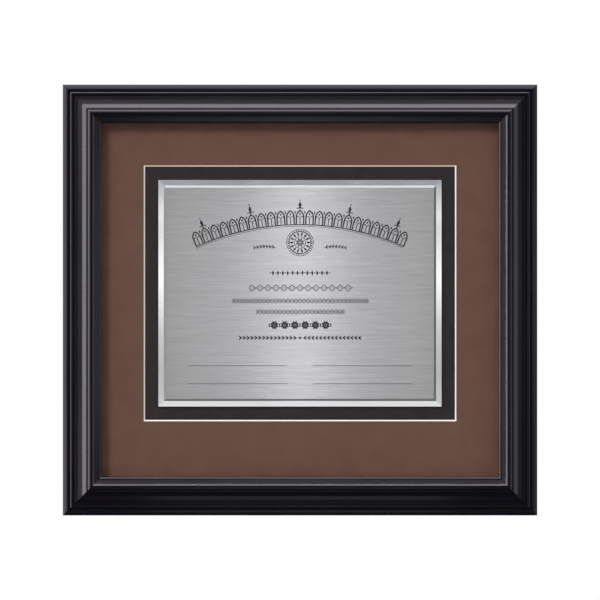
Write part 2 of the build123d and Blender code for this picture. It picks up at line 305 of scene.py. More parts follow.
side_tones = [(0.0, grey(0.64)), (0.16, grey(0.5)), (0.34, grey(0.62)), (0.56, grey(1.08)),
              (0.68, grey(0.92)), (0.77, grey(0.76)), (0.83, grey(0.88)), (0.92, grey(0.6)),
              (1.0, grey(0.31))]
plate_bevel_width, plate_bevel_depth = 4.8 * mm, 2.0 * mm
bevel_strips("plate_strip", plate_half, plate_bevel_width / 2,
             tilt=math.atan(plate_bevel_depth / plate_bevel_width), depth=0.02,
             ramps={"upper": even(0.33, cool), "left": side_tones, "lower": even(0.8), "right": side_tones})
sheet_low, sheet_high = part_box("plaque_face")
sheet_bevel_width, sheet_bevel_depth = 1.9 * mm, 0.7 * mm
bevel_strips("sheet_strip", (sheet_high - sheet_low) / 2, sheet_bevel_width / 2,
             tilt=math.atan(sheet_bevel_depth / sheet_bevel_width), depth=0.022,
             ramps={"upper": even(0.92), "left": even(0.31), "lower": even(0.18), "right": even(0.14)})

# Mouldings: four lengths of machined hardwood, mitred at the corners, with satin black lacquer
# on the face and the outer side. The rabbet and the back are left bare.


def new_group(kind, name, inputs, outputs):
    """A node group with named inputs and outputs. Returns it with its inner ends."""
    group = bpy.data.node_groups.new(name, kind)
    for way, sockets in (("INPUT", inputs), ("OUTPUT", outputs)):
        for label, form in sockets.items():
            group.interface.new_socket(label, in_out=way, socket_type=f"NodeSocket{form}")
    return group, add_node(group, "NodeGroupInput").outputs, add_node(group, "NodeGroupOutput")


def noise(tree, vector, scale, detail=3.0, roughness=0.5):
    """A noise texture's value at a vector."""
    return add_node(tree, "ShaderNodeTexNoise", Vector=vector, Scale=scale, Detail=detail,
                    Roughness=roughness).outputs["Fac"]


def blended(tree, share, first, second):
    """A colour between two others."""
    made = add_node(tree, "ShaderNodeMix", data_type="RGBA")
    for source, socket in ((share, made.inputs[0]), (first, made.inputs[6]), (second, made.inputs[7])):
        join(tree, source, socket)
    return made.outputs[2]


def raised(tree, height, strength, depth):
    """The normal of a surface with fine relief."""
    return add_node(tree, "ShaderNodeBump", Height=height, Strength=strength, Distance=depth).outputs[0]


def times(tree, first, second):
    """The product of two values."""
    return calculate(tree, "MULTIPLY", first, second)


def joined(tree, x=0.0, y=0.0, z=0.0):
    """A vector made of three values."""
    return add_node(tree, "ShaderNodeCombineXYZ", X=x, Y=y, Z=z).outputs[0]


def point_parts(tree):
    """The X, Y and Z of each point's place."""
    return parts_of(tree, add_node(tree, "GeometryNodeInputPosition"))


def moved(tree, geometry, x=0.0, y=0.0, z=0.0):
    """Geometry whose points are put at new places."""
    return add_node(tree, "GeometryNodeSetPosition", Geometry=geometry, Position=joined(tree, x, y, z))


def ended(tree, geometry, material):
    """The end of a Geometry Nodes tree: its instances made real, and given their material."""
    real = add_node(tree, "GeometryNodeRealizeInstances", Geometry=geometry)
    return add_node(tree, "GeometryNodeSetMaterial", Geometry=real, Material=material)


def placed_group(tree, group, **values):
    """Places a shader node group in a material, with its own values."""
    return add_node(tree, "ShaderNodeGroup", node_tree=group, **values).outputs


def new_material(name, **values):
    """A material with one shader. Returns it, its tree, its shader and the object coordinates."""
    material = plain_material(name, **values)
    place = add_node(material.node_tree, "ShaderNodeTexCoord").outputs["Object"]
    return material, material.node_tree, material.node_tree.nodes["Principled BSDF"], place


# Each step across the face has a name, a form, a width, a rise and, where it is round or sunk, a
# bulge or a depth.
flat, arc, quirk = "flat", "arc", "quirk"
outer_round = 1.0
quarter_bulge = outer_round * (1 - math.cos(math.radians(45)))
moulding_steps = (
    ("outer round", arc, outer_round, outer_round, quarter_bulge),
    ("outer fillet", arc, 3.3, 1.15, 0.1),
    ("outer quirk", quirk, 1.9, -1.55, 1.2),
    ("outer reed", arc, 2.6, 1.0, 0.33),
    ("inner quirk", quirk, 1.5, -1.7, 1.2),
    ("low fillet", flat, 3.4, 0.6, 0),
    ("step", flat, 0, 1.7, 0),
    ("high fillet", flat, 3.5, 0.85, 0),
    ("cove", arc, 3.7, 3.3, -0.29),
    ("cove lip", flat, 0.4, 0.2, 0),
    ("crown quirk", quirk, 1.3, 0, 0.8),
    ("crown reed", arc, 2.4, 1.1, 0.14),
    ("shoulder quirk", quirk, 1.6, -1.0, 0.8),
    ("ovolo", arc, 2.1, -1.8, 0.2),
    ("ovolo fillet", flat, 1.0, -0.2, 0),
    ("inner fillet", flat, 2.2, -0.7, 0),
    ("nose fillet", flat, 0.8, 0, 0),
    ("nose", arc, 1.9, -1.8, 0.46),
    ("sight edge", flat, 0, -1.6, 0),
)
rabbet_width = 6.35
arc_pieces = 12


def bulged_arc(start, move, bulge):
    """Points on the arc between two points whose middle stands a bulge off the chord."""
    radius = (move.length_squared / 4 + bulge ** 2) / (2 * bulge)
    to_left = Vector((-move.y, move.x)).normalized()
    centre = start + move / 2 + to_left * (bulge - radius)
    turn = -4 * math.atan(2 * bulge / move.length)
    return [centre + Matrix.Rotation(turn * step / arc_pieces, 2) @ (start - centre)
            for step in range(1, arc_pieces + 1)]


def moulding_outline(side_depth):
    """The moulding's section in millimetres: inward along X, forward along Y, from its back."""
    points = [Vector((0, 0)), Vector((0, side_depth))]
    for name, form, width, rise, size in moulding_steps:
        start, move = points[-1], Vector((width, rise))
        if form == quirk:
            bottom = start.y + rise - size
            points += [Vector((start.x, bottom)), Vector((start.x + width, bottom)), start + move]
        elif form == arc:
            points += bulged_arc(start, move, size)
        else:
            points.append(start + move)
    rabbet = points[-1].x - rabbet_width
    return points + [Vector((rabbet, points[-1].y)), Vector((rabbet, 0))]


# The crown reed is the model's foremost line, which settles the depth of the outer side.
rail_low, rail_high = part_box("rail_top")
highest = max(point.y for point in moulding_outline(0))
outline = moulding_outline((rail_high.y - rail_low.y) / mm - highest)

# The section's last points and its first are bare. A face is bare where most of its corners are.
bare_points = 3
bare_corners = 0.75

mitred, given, mitred_out = new_group(
    "GeometryNodeTree", "mitred_length",
    {"Outline": "Geometry", "Half Length": "Float", "Turn": "Rotation", "Place": "Vector",
     "Lacquer": "Material", "Bare Wood": "Material"}, {"Geometry": "Geometry"})
tree = mitred
section_curve = add_node(tree, "GeometryNodeMeshToCurve", Mesh=given["Outline"])
back_end = joined(tree, z=times(tree, given["Half Length"], -1.0))
front_end = joined(tree, z=given["Half Length"])
run = add_node(tree, "GeometryNodeCurvePrimitiveLine", Start=back_end, End=front_end)
sweep = add_node(tree, "GeometryNodeCurveToMesh", Curve=run, Profile_Curve=section_curve, Fill_Caps=True)
x, y, z = point_parts(tree)
shortened = calculate(tree, "SUBTRACT", given["Half Length"], x)
cut = moved(tree, sweep, x, y, times(tree, calculate(tree, "SIGN", z), shortened))
keep_run = add_node(tree, "GeometryNodeStoreNamedAttribute", data_type="FLOAT_VECTOR", domain="POINT",
                    Geometry=cut, Name="moulding_run", Value=add_node(tree, "GeometryNodeInputPosition"))
turned = add_node(tree, "GeometryNodeTransform", Geometry=keep_run, Translation=given["Place"],
                  Rotation=given["Turn"])
lacquered = ended(tree, turned, given["Lacquer"])
bare_mark = add_node(tree, "GeometryNodeInputNamedAttribute", data_type="FLOAT", Name="bare")
on_faces = add_node(tree, "GeometryNodeFieldOnDomain", domain="FACE", data_type="FLOAT")
join(tree, bare_mark.outputs["Attribute"], on_faces.inputs[0])
is_bare = add_node(tree, "FunctionNodeCompare", data_type="FLOAT", operation="GREATER_THAN")
join(tree, on_faces, is_bare.inputs[0])
join(tree, bare_corners, is_bare.inputs[1])
uncoated = add_node(tree, "GeometryNodeSetMaterial", Geometry=lacquered, Selection=is_bare,
                    Material=given["Bare Wood"])
feed(tree, mitred_out, Geometry=uncoated)


def shape_by(made, group, **values):
    """Shapes an object by a Geometry Nodes tree, whose inputs are set by their identifiers."""
    modifier = made.modifiers.new(group.name, "NODES")
    modifier.node_group = group
    identifiers = {item.name: item.identifier for item in group.interface.items_tree
                   if item.item_type == "SOCKET" and item.in_out == "INPUT"}
    for name, value in values.items():
        modifier[identifiers[name.replace("_", " ")]] = value


def round_edges(piece, width, segments, angle):
    """Rounds the edges of a piece that turn more sharply than an angle in degrees."""
    rounded_edges = piece.modifiers.new("round_edges", "BEVEL")
    rounded_edges.width = width
    rounded_edges.segments = segments
    rounded_edges.limit_method = "ANGLE"
    rounded_edges.angle_limit = math.radians(angle)


smooth_angle = math.radians(30)


def made_plain(made):
    """Turns what an object's modifiers give into its plain mesh."""
    depsgraph = bpy.context.evaluated_depsgraph_get()
    mesh = bpy.data.meshes.new_from_object(made.evaluated_get(depsgraph), preserve_all_data_layers=True,
                                           depsgraph=depsgraph)
    made.modifiers.clear()
    made.data = mesh
    shell = bmesh.new()
    shell.from_mesh(mesh)
    bmesh.ops.recalc_face_normals(shell, faces=shell.faces)
    shell.to_mesh(mesh)
    shell.free()
    mesh.shade_smooth()
    mesh.set_sharp_from_angle(angle=smooth_angle)
    level_faces = made.modifiers.new("level_faces", "WEIGHTED_NORMAL")
    level_faces.keep_sharp = True


# Grain is shared by lacquer, bare wood, plastic, hardboard and metal: fine streaks that run along
# X of the vector that it is given, and broader ones.
broad_scale = 0.13
grain, given, grain_out = new_group(
    "ShaderNodeTree", "grain", {"Vector": "Vector", "Length Scale": "Float", "Width Scale": "Float"},
    {"Value": "Float", "Broad": "Float"})
streak_space = add_node(grain, "ShaderNodeVectorMath", operation="MULTIPLY")
join(grain, given["Vector"], streak_space.inputs[0])
join(grain, joined(grain, given["Length Scale"], given["Width Scale"], given["Width Scale"]),
     streak_space.inputs[1])
feed(grain, grain_out, Value=noise(grain, streak_space, scale=1.0, detail=2.0, roughness=0.6),
     Broad=noise(grain, streak_space, broad_scale, detail=2.0, roughness=0.5))

# Handling is shared by whatever has a gloss: faint smudges that change it from place to place.
# Most of a noise lies between its usual low and high.
noise_low, noise_high = 0.3, 0.7
handling, given, handling_out = new_group(
    "ShaderNodeTree", "handling", {"Vector": "Vector", "Low": "Float", "High": "Float", "Scale": "Float"},
    {"Roughness": "Float"})
smudges = noise(handling, given["Vector"], given["Scale"], detail=4.0, roughness=0.6)
feed(handling, handling_out,
     Roughness=ranged(handling, smudges, noise_low, noise_high, given["Low"], given["High"]))


def smudged(tree, place, low, high, scale):
    """A roughness that handling has changed from place to place."""
    return placed_group(tree, handling, Vector=place, Low=low, High=high, Scale=scale)["Roughness"]


def run_vector(tree):
    """The moulding's own coordinates, turned so that its length runs along X."""
    kept = add_node(tree, "ShaderNodeAttribute", attribute_name="moulding_run")
    x, y, z = parts_of(tree, kept.outputs["Vector"])
    return joined(tree, z, x, y)


lacquer_dark, lacquer_light = (0.0032, 0.0023, 0.0056, 1), (0.0056, 0.0042, 0.0086, 1)
lacquer, tree, shader, place = new_material("satin_black_lacquer", IOR=1.5)
pores = placed_group(tree, grain, Vector=run_vector(tree), Length_Scale=25.0, Width_Scale=1400.0)
feed(tree, shader, Base_Color=blended(tree, pores["Broad"], lacquer_dark, lacquer_light),
     Roughness=smudged(tree, place, low=0.2, high=0.26, scale=22.0),
     Normal=raised(tree, pores["Value"], strength=0.08, depth=0.01 * mm))

wood_dark, wood_light, wood_streak = (0.4, 0.27, 0.155, 1), (0.57, 0.43, 0.28, 1), (0.27, 0.165, 0.09, 1)
streak_share = 0.6
bare_wood, tree, shader, place = new_material("bare_hardwood", Roughness=0.7)
figure = placed_group(tree, grain, Vector=run_vector(tree), Length_Scale=8.0, Width_Scale=640.0)
wood_tone = blended(tree, ranged(tree, figure["Broad"], low=0.36, high=0.64), wood_dark, wood_light)
streaks = times(tree, ranged(tree, figure["Value"], low=0.5, high=0.72), streak_share)
feed(tree, shader, Base_Color=blended(tree, streaks, wood_tone, wood_streak),
     Normal=raised(tree, figure["Value"], strength=0.5, depth=0.1 * mm))

# A rail's own axes run inward, forward and along its length.
half_width, half_height = (cad_high.x - cad_low.x) / 2, (cad_high.z - cad_low.z) / 2
rail_sides = {
    "top": (Vector((0, 0, 1)), half_height, half_width),
    "left": (Vector((-1, 0, 0)), half_width, half_height),
    "bottom": (Vector((0, 0, -1)), half_height, half_width),
    "right": (Vector((1, 0, 0)), half_width, half_height),
}
forward = Vector((0, -1, 0))
arris = 0.05 * mm
for side, (outward, half_across, half_length) in rail_sides.items():
    points = [(point.x * mm, point.y * mm, 0) for point in outline]
    edges = [(index, (index + 1) % len(points)) for index in range(len(points))]
    moulding = make_mesh(f"moulding_{side}", points, [], None, edges)
    bare_indices = {0, *range(len(points) - bare_points, len(points))}
    bare = moulding.data.attributes.new("bare", "FLOAT", "POINT")
    bare.data.foreach_set("value", [float(index in bare_indices) for index in range(len(points))])
    axes = Matrix((-outward, forward, (-outward).cross(forward))).transposed()
    shape_by(moulding, mitred, Half_Length=half_length, Turn=axes.to_euler(), Lacquer=lacquer,
             Place=outward * half_across + Vector((0, rail_high.y, 0)), Bare_Wood=bare_wood)
    round_edges(moulding, arris, segments=2, angle=35)
    made_plain(moulding)
    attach(moulding, "frame")
    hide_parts(f"rail_{side}")

# V-nails: folded strips of blued steel, pressed across each mitre from behind, two to a corner.
# Their edges stand a hair out of the wood.
weld_distance = 0.001 * mm
level_angle = math.radians(1)


def eased(node, body, material, edge, stand=0.0):
    """Stands in for a model node with a copy whose edges are slightly rounded, set back by its stand."""
    shell = bmesh.new()
    shell.from_mesh(frame["nodes"][node].data)
    bmesh.ops.translate(shell, verts=shell.verts, vec=(0, stand, 0))
    bmesh.ops.remove_doubles(shell, verts=shell.verts, dist=weld_distance)
    bmesh.ops.dissolve_limit(shell, angle_limit=level_angle, verts=shell.verts, edges=shell.edges)
    piece = make_mesh(f"eased_{node}", [], [], None)
    shell.to_mesh(piece.data)
    shell.free()
    piece.data.materials.append(material)
    round_edges(piece, edge, segments=3, angle=30)
    made_plain(piece)
    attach(piece, body)
    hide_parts(node)


nail_dark, nail_light = (0.2, 0.21, 0.23, 1), (0.36, 0.36, 0.37, 1)
nail_steel, tree, shader, place = new_material("blued_nail_steel", Metallic=1.0)
feed(tree, shader, Base_Color=blended(tree, noise(tree, place, scale=240.0), nail_dark, nail_light),
     Roughness=smudged(tree, place, low=0.35, high=0.5, scale=300.0))
eased("corner_v_nails", "frame", nail_steel, edge=0.05 * mm, stand=0.06 * mm)

# Glazing: a clear pane of glass with an anti-reflection coating, which its low index stands for.
# It is cut square, and its edges lie between the lip and the spacers.
coated_index = 1.12


def dress(material, *nodes):
    """Gives model nodes whose own shape is right their material."""
    for name in nodes:
        frame["nodes"][name].data.materials.clear()
        frame["nodes"][name].data.materials.append(material)


glass, tree, shader, place = new_material("clear_coated_glass", Base_Color=(0.985, 0.995, 0.99, 1),
                                          Transmission_Weight=1.0, IOR=coated_index)
feed(tree, shader, Roughness=smudged(tree, place, low=0.0, high=0.012, scale=9.0))
ray = add_node(tree, "ShaderNodeLightPath").outputs
lets_light = calculate(tree, "MAXIMUM", ray["Is Shadow Ray"], ray["Is Diffuse Ray"])
lets_through = calculate(tree, "MAXIMUM", lets_light, ray["Is Glossy Ray"])
pane = mixed(tree, lets_through, shader, add_node(tree, "ShaderNodeBsdfTransparent"))
feed(tree, tree.nodes["Material Output"], Surface=pane)
dress(glass, "glazing")

# Spacers: hollow strips of black plastic, extruded and cut to length. They lie behind the lip,
# between the pane and the mat, and hold the pane off the plaque.
plastic_dark, plastic_light = (0.014, 0.014, 0.015, 1), (0.022, 0.022, 0.023, 1)
spacer_plastic, tree, shader, place = new_material("extruded_black_plastic", IOR=1.5)
drawn = placed_group(tree, grain, Vector=place, Length_Scale=30.0, Width_Scale=1200.0)
feed(tree, shader, Base_Color=blended(tree, drawn["Broad"], plastic_dark, plastic_light),
     Roughness=smudged(tree, place, low=0.38, high=0.5, scale=60.0),
     Normal=raised(tree, drawn["Value"], strength=0.1, depth=0.05 * mm))
dress(spacer_plastic, *(f"spacer_{side}" for side in rail_sides))

# Window mat: brown suede paper on a cream board, its window cut at 45 degrees so that the board
# shows as a fine pale line. Boards have their plies one behind the other, along Y.
core_plies = (1, 6, 1)

# Mottle is shared by suede, boards, foam, enamel and rubber: soft clouds and fine specks between
# two colours.
mottle, given, mottle_out = new_group(
    "ShaderNodeTree", "mottle",
    {"Vector": "Vector", "Cloud Scale": "Float", "Speck Scale": "Float", "Dark": "Color", "Light": "Color"},
    {"Color": "Color", "Height": "Float"})
clouds = noise(mottle, given["Vector"], given["Cloud Scale"], detail=3.0, roughness=0.55)
specks = noise(mottle, given["Vector"], given["Speck Scale"], detail=2.0, roughness=0.7)
both = ranged(mottle, calculate(mottle, "ADD", clouds, specks), 2 * noise_low, 2 * noise_high)
feed(mottle, mottle_out, Color=blended(mottle, both, given["Dark"], given["Light"]), Height=specks)


def mottled(name, clouds, specks, dark, light, relief, depth, plies=None, **values):
    """A material of soft clouds and fine specks between two colours, with a slight relief."""
    material, tree, shader, place = new_material(name, **values)
    if plies:
        place = add_node(tree, "ShaderNodeMapping", Vector=place, Scale=plies)
    marks = placed_group(tree, mottle, Vector=place, Cloud_Scale=clouds, Speck_Scale=specks,
                         Dark=(*dark, 1), Light=(*light, 1))
    feed(tree, shader, Base_Color=marks["Color"], Normal=raised(tree, marks["Height"], relief, depth))
    return material


suede = mottled("brown_suede", clouds=60.0, specks=2200.0, dark=(0.107, 0.0545, 0.0385),
                light=(0.134, 0.0715, 0.052), relief=0.35, depth=0.15 * mm, Roughness=0.95,
                Specular_IOR_Level=0.12, Sheen_Weight=0.08, Sheen_Roughness=0.4)
dress(suede, "mat_facing")
core = mottled("cream_board_edge", clouds=120.0, specks=1500.0, dark=(0.84, 0.76, 0.7),
               light=(0.94, 0.87, 0.81), relief=0.3, depth=0.1 * mm, plies=core_plies, Roughness=0.9,
               Specular_IOR_Level=0.2)
dress(core, "mat_core")

# Mount board: smooth matt black board, cut square behind the mat. The plaque is fixed to it, and
# it shows as the margin round the plaque.
board = mottled("black_mount_board", clouds=90.0, specks=1800.0, dark=(0.0205, 0.0165, 0.017),
                light=(0.0325, 0.0267, 0.0278), relief=0.3, depth=0.1 * mm, Roughness=0.85,
                Specular_IOR_Level=0.06)
dress(board, "mount_board")

# Foam tapes: strips of white foam with adhesive on both faces, cut from a roll. They bond the
# plaque to its board.
foam = mottled("white_foam", clouds=300.0, specks=2600.0, dark=(0.66, 0.66, 0.64), light=(0.82, 0.82, 0.8),
               relief=0.6, depth=0.2 * mm, Roughness=0.9, Specular_IOR_Level=0.2)
dress(foam, "plaque_tapes")

# Plaque: an aluminium plate whose bevels are polished, and a thin sheet brushed from side to
# side, bonded to its front. The sheet's own bevels are polished too.
polish_tone = (0.93, 0.93, 0.945, 1)
polish, tree, shader, place = new_material("polished_bevels", Base_Color=polish_tone, Metallic=1.0)
feed(tree, shader, Roughness=smudged(tree, place, low=0.05, high=0.09, scale=40.0))
dress(polish, "plaque_plate")

sheet_dark, sheet_light = (0.73, 0.735, 0.73, 1), (0.89, 0.89, 0.9, 1)
long_streak_share = 0.28
sheet_bevel_gloss = 0.09
faces_front = -0.98
brushed, tree, shader, place = new_material("brushed_sheet", Metallic=1.0)
streaks = placed_group(tree, grain, Vector=place, Length_Scale=40.0, Width_Scale=2600.0)
long_streaks = placed_group(tree, grain, Vector=place, Length_Scale=22.0, Width_Scale=700.0)
short_part = times(tree, streaks["Value"], 1 - long_streak_share)
streak_mix = calculate(tree, "MULTIPLY_ADD", long_streaks["Value"], long_streak_share, short_part)
facing = parts_of(tree, add_node(tree, "ShaderNodeTexCoord").outputs["Normal"])[1]
on_front = calculate(tree, "LESS_THAN", facing, faces_front)
brushed_gloss = ranged(tree, streaks["Broad"], low=0.0, high=1.0, to_low=0.18, to_high=0.22)
duller = calculate(tree, "SUBTRACT", brushed_gloss, sheet_bevel_gloss)
streak_place = ranged(tree, streak_mix, noise_low, noise_high)
feed(tree, shader, Base_Color=blended(tree, streak_place, sheet_dark, sheet_light),
     Roughness=calculate(tree, "MULTIPLY_ADD", on_front, duller, sheet_bevel_gloss),
     Normal=raised(tree, streaks["Value"], strength=0.05, depth=0.01 * mm))
dress(brushed, "plaque_face")

# Etching: the sheet's ornament is etched through a mask and filled with black enamel. An arched
# arcade crowns it, and a rosette, two sprigs, six bands and four ruled lines lie below.
enamel = mottled("etched_black", clouds=150.0, specks=2600.0, dark=(0.012, 0.012, 0.014),
                 light=(0.03, 0.03, 0.034), relief=0.2, depth=0.05 * mm, Roughness=0.55,
                 Specular_IOR_Level=0.25)

# One tree etches every motif. It sweeps a nib along the strokes, levels what that gives, and
# repeats it along a row, which is straight or bent to an arch.
etched_row, given, row_out = new_group(
    "GeometryNodeTree", "etched_row",
    {"Strokes": "Geometry", "Count": "Int", "Pitch": "Float", "Bend Radius": "Float", "Line Scale": "Float",
     "Fill Depth": "Float", "Place": "Vector", "Enamel": "Material"}, {"Geometry": "Geometry"})
tree = etched_row
stroke_path = add_node(tree, "GeometryNodeMeshToCurve", Mesh=given["Strokes"])
level_path = add_node(tree, "GeometryNodeSetCurveNormal", mode="Z_UP", Curve=stroke_path)
nib = add_node(tree, "GeometryNodeCurvePrimitiveQuadrilateral", Width=given["Line Scale"],
               Height=given["Line Scale"])
swell = add_node(tree, "GeometryNodeInputNamedAttribute", data_type="FLOAT", Name="swell")
ribbon = add_node(tree, "GeometryNodeCurveToMesh", Curve=level_path, Profile_Curve=nib,
                  Scale=swell.outputs["Attribute"], Fill_Caps=True)
x, y, z = point_parts(tree)
half_fill = times(tree, given["Fill Depth"], 0.5)
levelled = moved(tree, ribbon, x, y, times(tree, calculate(tree, "SIGN", z), half_fill))
line_of_points = add_node(tree, "GeometryNodeMeshLine", Count=given["Count"])
half_count = times(tree, calculate(tree, "SUBTRACT", given["Count"], 1.0), 0.5)
from_middle = calculate(tree, "SUBTRACT", add_node(tree, "GeometryNodeInputIndex"), half_count)
along_row = times(tree, from_middle, given["Pitch"])
row_angle = calculate(tree, "DIVIDE", along_row, given["Bend Radius"])
half_sine = calculate(tree, "SINE", times(tree, row_angle, 0.5))
fall = times(tree, times(tree, half_sine, half_sine), -2.0)
bent_x = times(tree, calculate(tree, "SINE", row_angle), given["Bend Radius"])
bent_line = moved(tree, line_of_points, bent_x, times(tree, fall, given["Bend Radius"]))
row_turn = add_node(tree, "FunctionNodeAxisAngleToRotation", Axis=(0, 0, 1),
                    Angle=times(tree, row_angle, -1.0))
repeated = add_node(tree, "GeometryNodeInstanceOnPoints", Points=bent_line, Instance=levelled,
                    Rotation=row_turn)
upright_row = add_node(tree, "GeometryNodeTransform", Geometry=repeated, Translation=given["Place"],
                       Rotation=(math.radians(90), 0, 0))
feed(tree, row_out, Geometry=ended(tree, upright_row, given["Enamel"]))

# Strokes are lists of points in millimetres: across, up, and the stroke's width there.
point_width = 0.05
stroke_pieces = 10
arc_step = 6


def straight(start, end, *widths):
    """A straight stroke with one point for each of its widths."""
    start, end = Vector(start), Vector(end)
    return [(*start.lerp(end, index / (len(widths) - 1)), width) for index, width in enumerate(widths)]


def rounded(centre, radius, first, last, width):
    """A stroke of even width along an arc, between two angles in degrees."""
    pieces = max(stroke_pieces, round(abs(last - first) / arc_step))
    angles = [math.radians(first + (last - first) * step / pieces) for step in range(pieces + 1)]
    return [(centre[0] + radius * math.cos(angle), centre[1] + radius * math.sin(angle), width)
            for angle in angles]


def leaf(start, end, width, bow=0.0):
    """A stroke that swells in the middle, comes to points, and bows to its left."""
    start, end = Vector(start), Vector(end)
    to_left = Vector((start.y - end.y, end.x - start.x)).normalized()
    shares = [step / stroke_pieces for step in range(stroke_pieces + 1)]
    return [(*(start.lerp(end, share) + to_left * bow * 4 * share * (1 - share)),
             max(point_width, width * math.sin(math.pi * share))) for share in shares]


def dot(centre, radius):
    """A round dot, drawn as one short stroke."""
    angles = [math.pi * step / stroke_pieces for step in range(stroke_pieces + 1)]
    x, y = centre
    return [(x - radius * math.cos(angle), y, max(point_width, 2 * radius * math.sin(angle)))
            for angle in angles]


def lozenge(centre, half_width, half_height):
    """A lozenge, drawn as one upright stroke."""
    x, y = centre
    return straight((x, y - half_height), (x, y + half_height), point_width, 2 * half_width, point_width)


straight_bend = 100.0
fill_depth = 0.04 * mm


def etch(name, strokes, x, z, count=1, pitch=1.0, bend=None):
    """Etches a motif into the sheet, repeated along a straight or arched row."""
    points, edges, widths = [], [], []
    for stroke in strokes:
        first = len(points)
        closed = (Vector(stroke[0][:2]) - Vector(stroke[-1][:2])).length < point_width / 2
        kept = stroke[:-1] if closed else stroke
        points += [(across * mm, up * mm, 0) for across, up, width in kept]
        widths += [width for across, up, width in kept]
        edges += [(first + index, first + index + 1) for index in range(len(kept) - 1)]
        if closed:
            edges.append((len(points) - 1, first))
    etching = make_mesh(name, points, [], None, edges)
    etching.data.attributes.new("swell", "FLOAT", "POINT").data.foreach_set("value", widths)
    shape_by(etching, etched_row, Count=count, Pitch=pitch * mm, Line_Scale=mm, Fill_Depth=fill_depth,
             Bend_Radius=straight_bend if bend is None else bend * mm, Enamel=enamel,
             Place=(x * mm, sheet_low.y, plate_middle.z + z * mm))
    made_plain(etching)
    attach(etching, "frame")


# The arcade stands on two fine rules. Its pointed arches hold a pair of lancets and a dot.
arcade_pitch, arcade_count, arcade_bend, arcade_foot = 8.4, 23, 230.0, 62.0
bay, spring, lancet_spring = 3.3, 6.4, 4.4
arch_line, lancet_line, mullion_line = 1.2, 0.55, 0.75
arcade = []
for side in (-1, 1):
    arcade.append(straight((side * bay, 0), (side * bay, spring), arch_line, arch_line))
    arcade.append(rounded((-side * bay, spring), 2 * bay, 90 - 90 * side, 90 - 30 * side, arch_line))
    arcade.append(rounded((side * (bay / 2) + bay / 2, lancet_spring), bay, 180, 120, lancet_line))
    arcade.append(rounded((side * (bay / 2) - bay / 2, lancet_spring), bay, 0, 60, lancet_line))
arcade.append(straight((0, 0), (0, lancet_spring), mullion_line, mullion_line))
arcade.append(dot((0, 9.0), 0.85))
rules = [straight((-arcade_pitch / 2, level), (arcade_pitch / 2, level), width, width)
         for level, width in ((-0.5, 0.9), (-2.0, 0.4))]
finial = [straight((0, 12.0), (0, 15.0), 1.0, 0.7), lozenge((0, 17.2), 1.5, 3.2), dot((0, 21.4), 0.6)]
finial += [rounded((side * 2.0, 15.8), 1.6, 90 + side * 90, 90 + side * 220, 0.8) for side in (-1, 1)]
for name, strokes, count, bays in (
        ("arcade", arcade, arcade_count, 1),
        ("arcade_lozenges", [lozenge((0, 10.6), 0.7, 1.7)], arcade_count - 1, 1),
        ("arcade_rules", rules, arcade_count, 1),
        ("finials", finial, 5, 5)):
    etch(f"etched_{name}", strokes, 0, arcade_foot, count, bays * arcade_pitch, arcade_bend)

# Each ring of the rosette is a row bent until it closes.
seal_height = 45.5
seal_rings = [rounded((0, 0), radius, 0, 360, width)
              for radius, width in ((12.0, 0.45), (9.9, 0.8), (5.1, 0.55))]
etch("etched_seal_rings", seal_rings, 0, seal_height)
for name, strokes, radius, count in (
        ("beads", [dot((0, 0), 0.5)], 10.95, 32),
        ("petals", [leaf((0, -1.8), (0, 1.9), 1.7)], 7.5, 14),
        ("darts", [lozenge((0, 0), 0.35, 1.0)], 8.4, 14),
        ("star", [lozenge((0, 0), 0.8, 2.1)], 2.5, 8)):
    etch(f"etched_seal_{name}", strokes, 0, seal_height + radius, count, math.tau * radius / count, radius)

stem_width = 0.3


def leafy(way, stem, reach, spread, width, bow):
    """A length of stem with a pair of leaves that point one way."""
    leaves = [leaf((0, 0), (way * reach, lean * spread), width, way * lean * bow) for lean in (-1, 1)]
    return [straight((-stem / 2, 0), (stem / 2, 0), stem_width, stem_width), *leaves]


# The sprigs point away from the rosette.
for side, way in (("left", -1), ("right", 1)):
    sprig = leafy(way, stem=3.0, reach=2.6, spread=1.9, width=0.95, bow=-0.35)
    etch(f"etched_sprig_{side}", sprig, x=way * 31.0, z=42.0, count=7, pitch=2.8, bend=44.0)

# Bands: lozenges with dots, quatrefoils, two of twined strands, bold flowers, and a laurel.
diamonds = [lozenge((0, 0), 1.1, 2.3), dot((2.2, 0), 0.55), dot((-2.2, 0), 0.55)]
lobe_place, lobe_radius, lobe_reach, lobe_line = 1.35, 1.2, 96, 0.65
quatrefoils = [dot((0, 0), 0.55), straight((2.6, 0), (4.6, 0), point_width, 1.1, point_width)]
for angle in (0, 90, 180, 270):
    lobe = Vector((math.cos(math.radians(angle)), math.sin(math.radians(angle)))) * lobe_place
    quatrefoils.append(rounded(lobe, lobe_radius, angle - lobe_reach, angle + lobe_reach, lobe_line))
strand_pitch, strand_rise, strand_line, strand_pieces = 7.2, 1.9, 0.6, 16
strand_shares = [step / strand_pieces for step in range(strand_pieces + 1)]
strands = [[((share - 0.5) * strand_pitch, way * strand_rise * math.cos(math.tau * share), strand_line)
            for share in strand_shares] for way in (-1, 1)]
strands += [dot((0, 0), 0.6), dot((strand_pitch / 2, 0), 0.6)]
petal_count = 8
petal_angles = [math.tau * (petal + 0.5) / petal_count for petal in range(petal_count)]
petal_turns = [Vector((math.cos(angle), math.sin(angle))) for angle in petal_angles]
flowers = [leaf(way * 0.7, way * 4.1, 1.9) for way in petal_turns]
flowers += [dot((0, 0), 0.8), lozenge((4.6, 0), 0.7, 2.2), lozenge((-4.6, 0), 0.7, 2.2)]
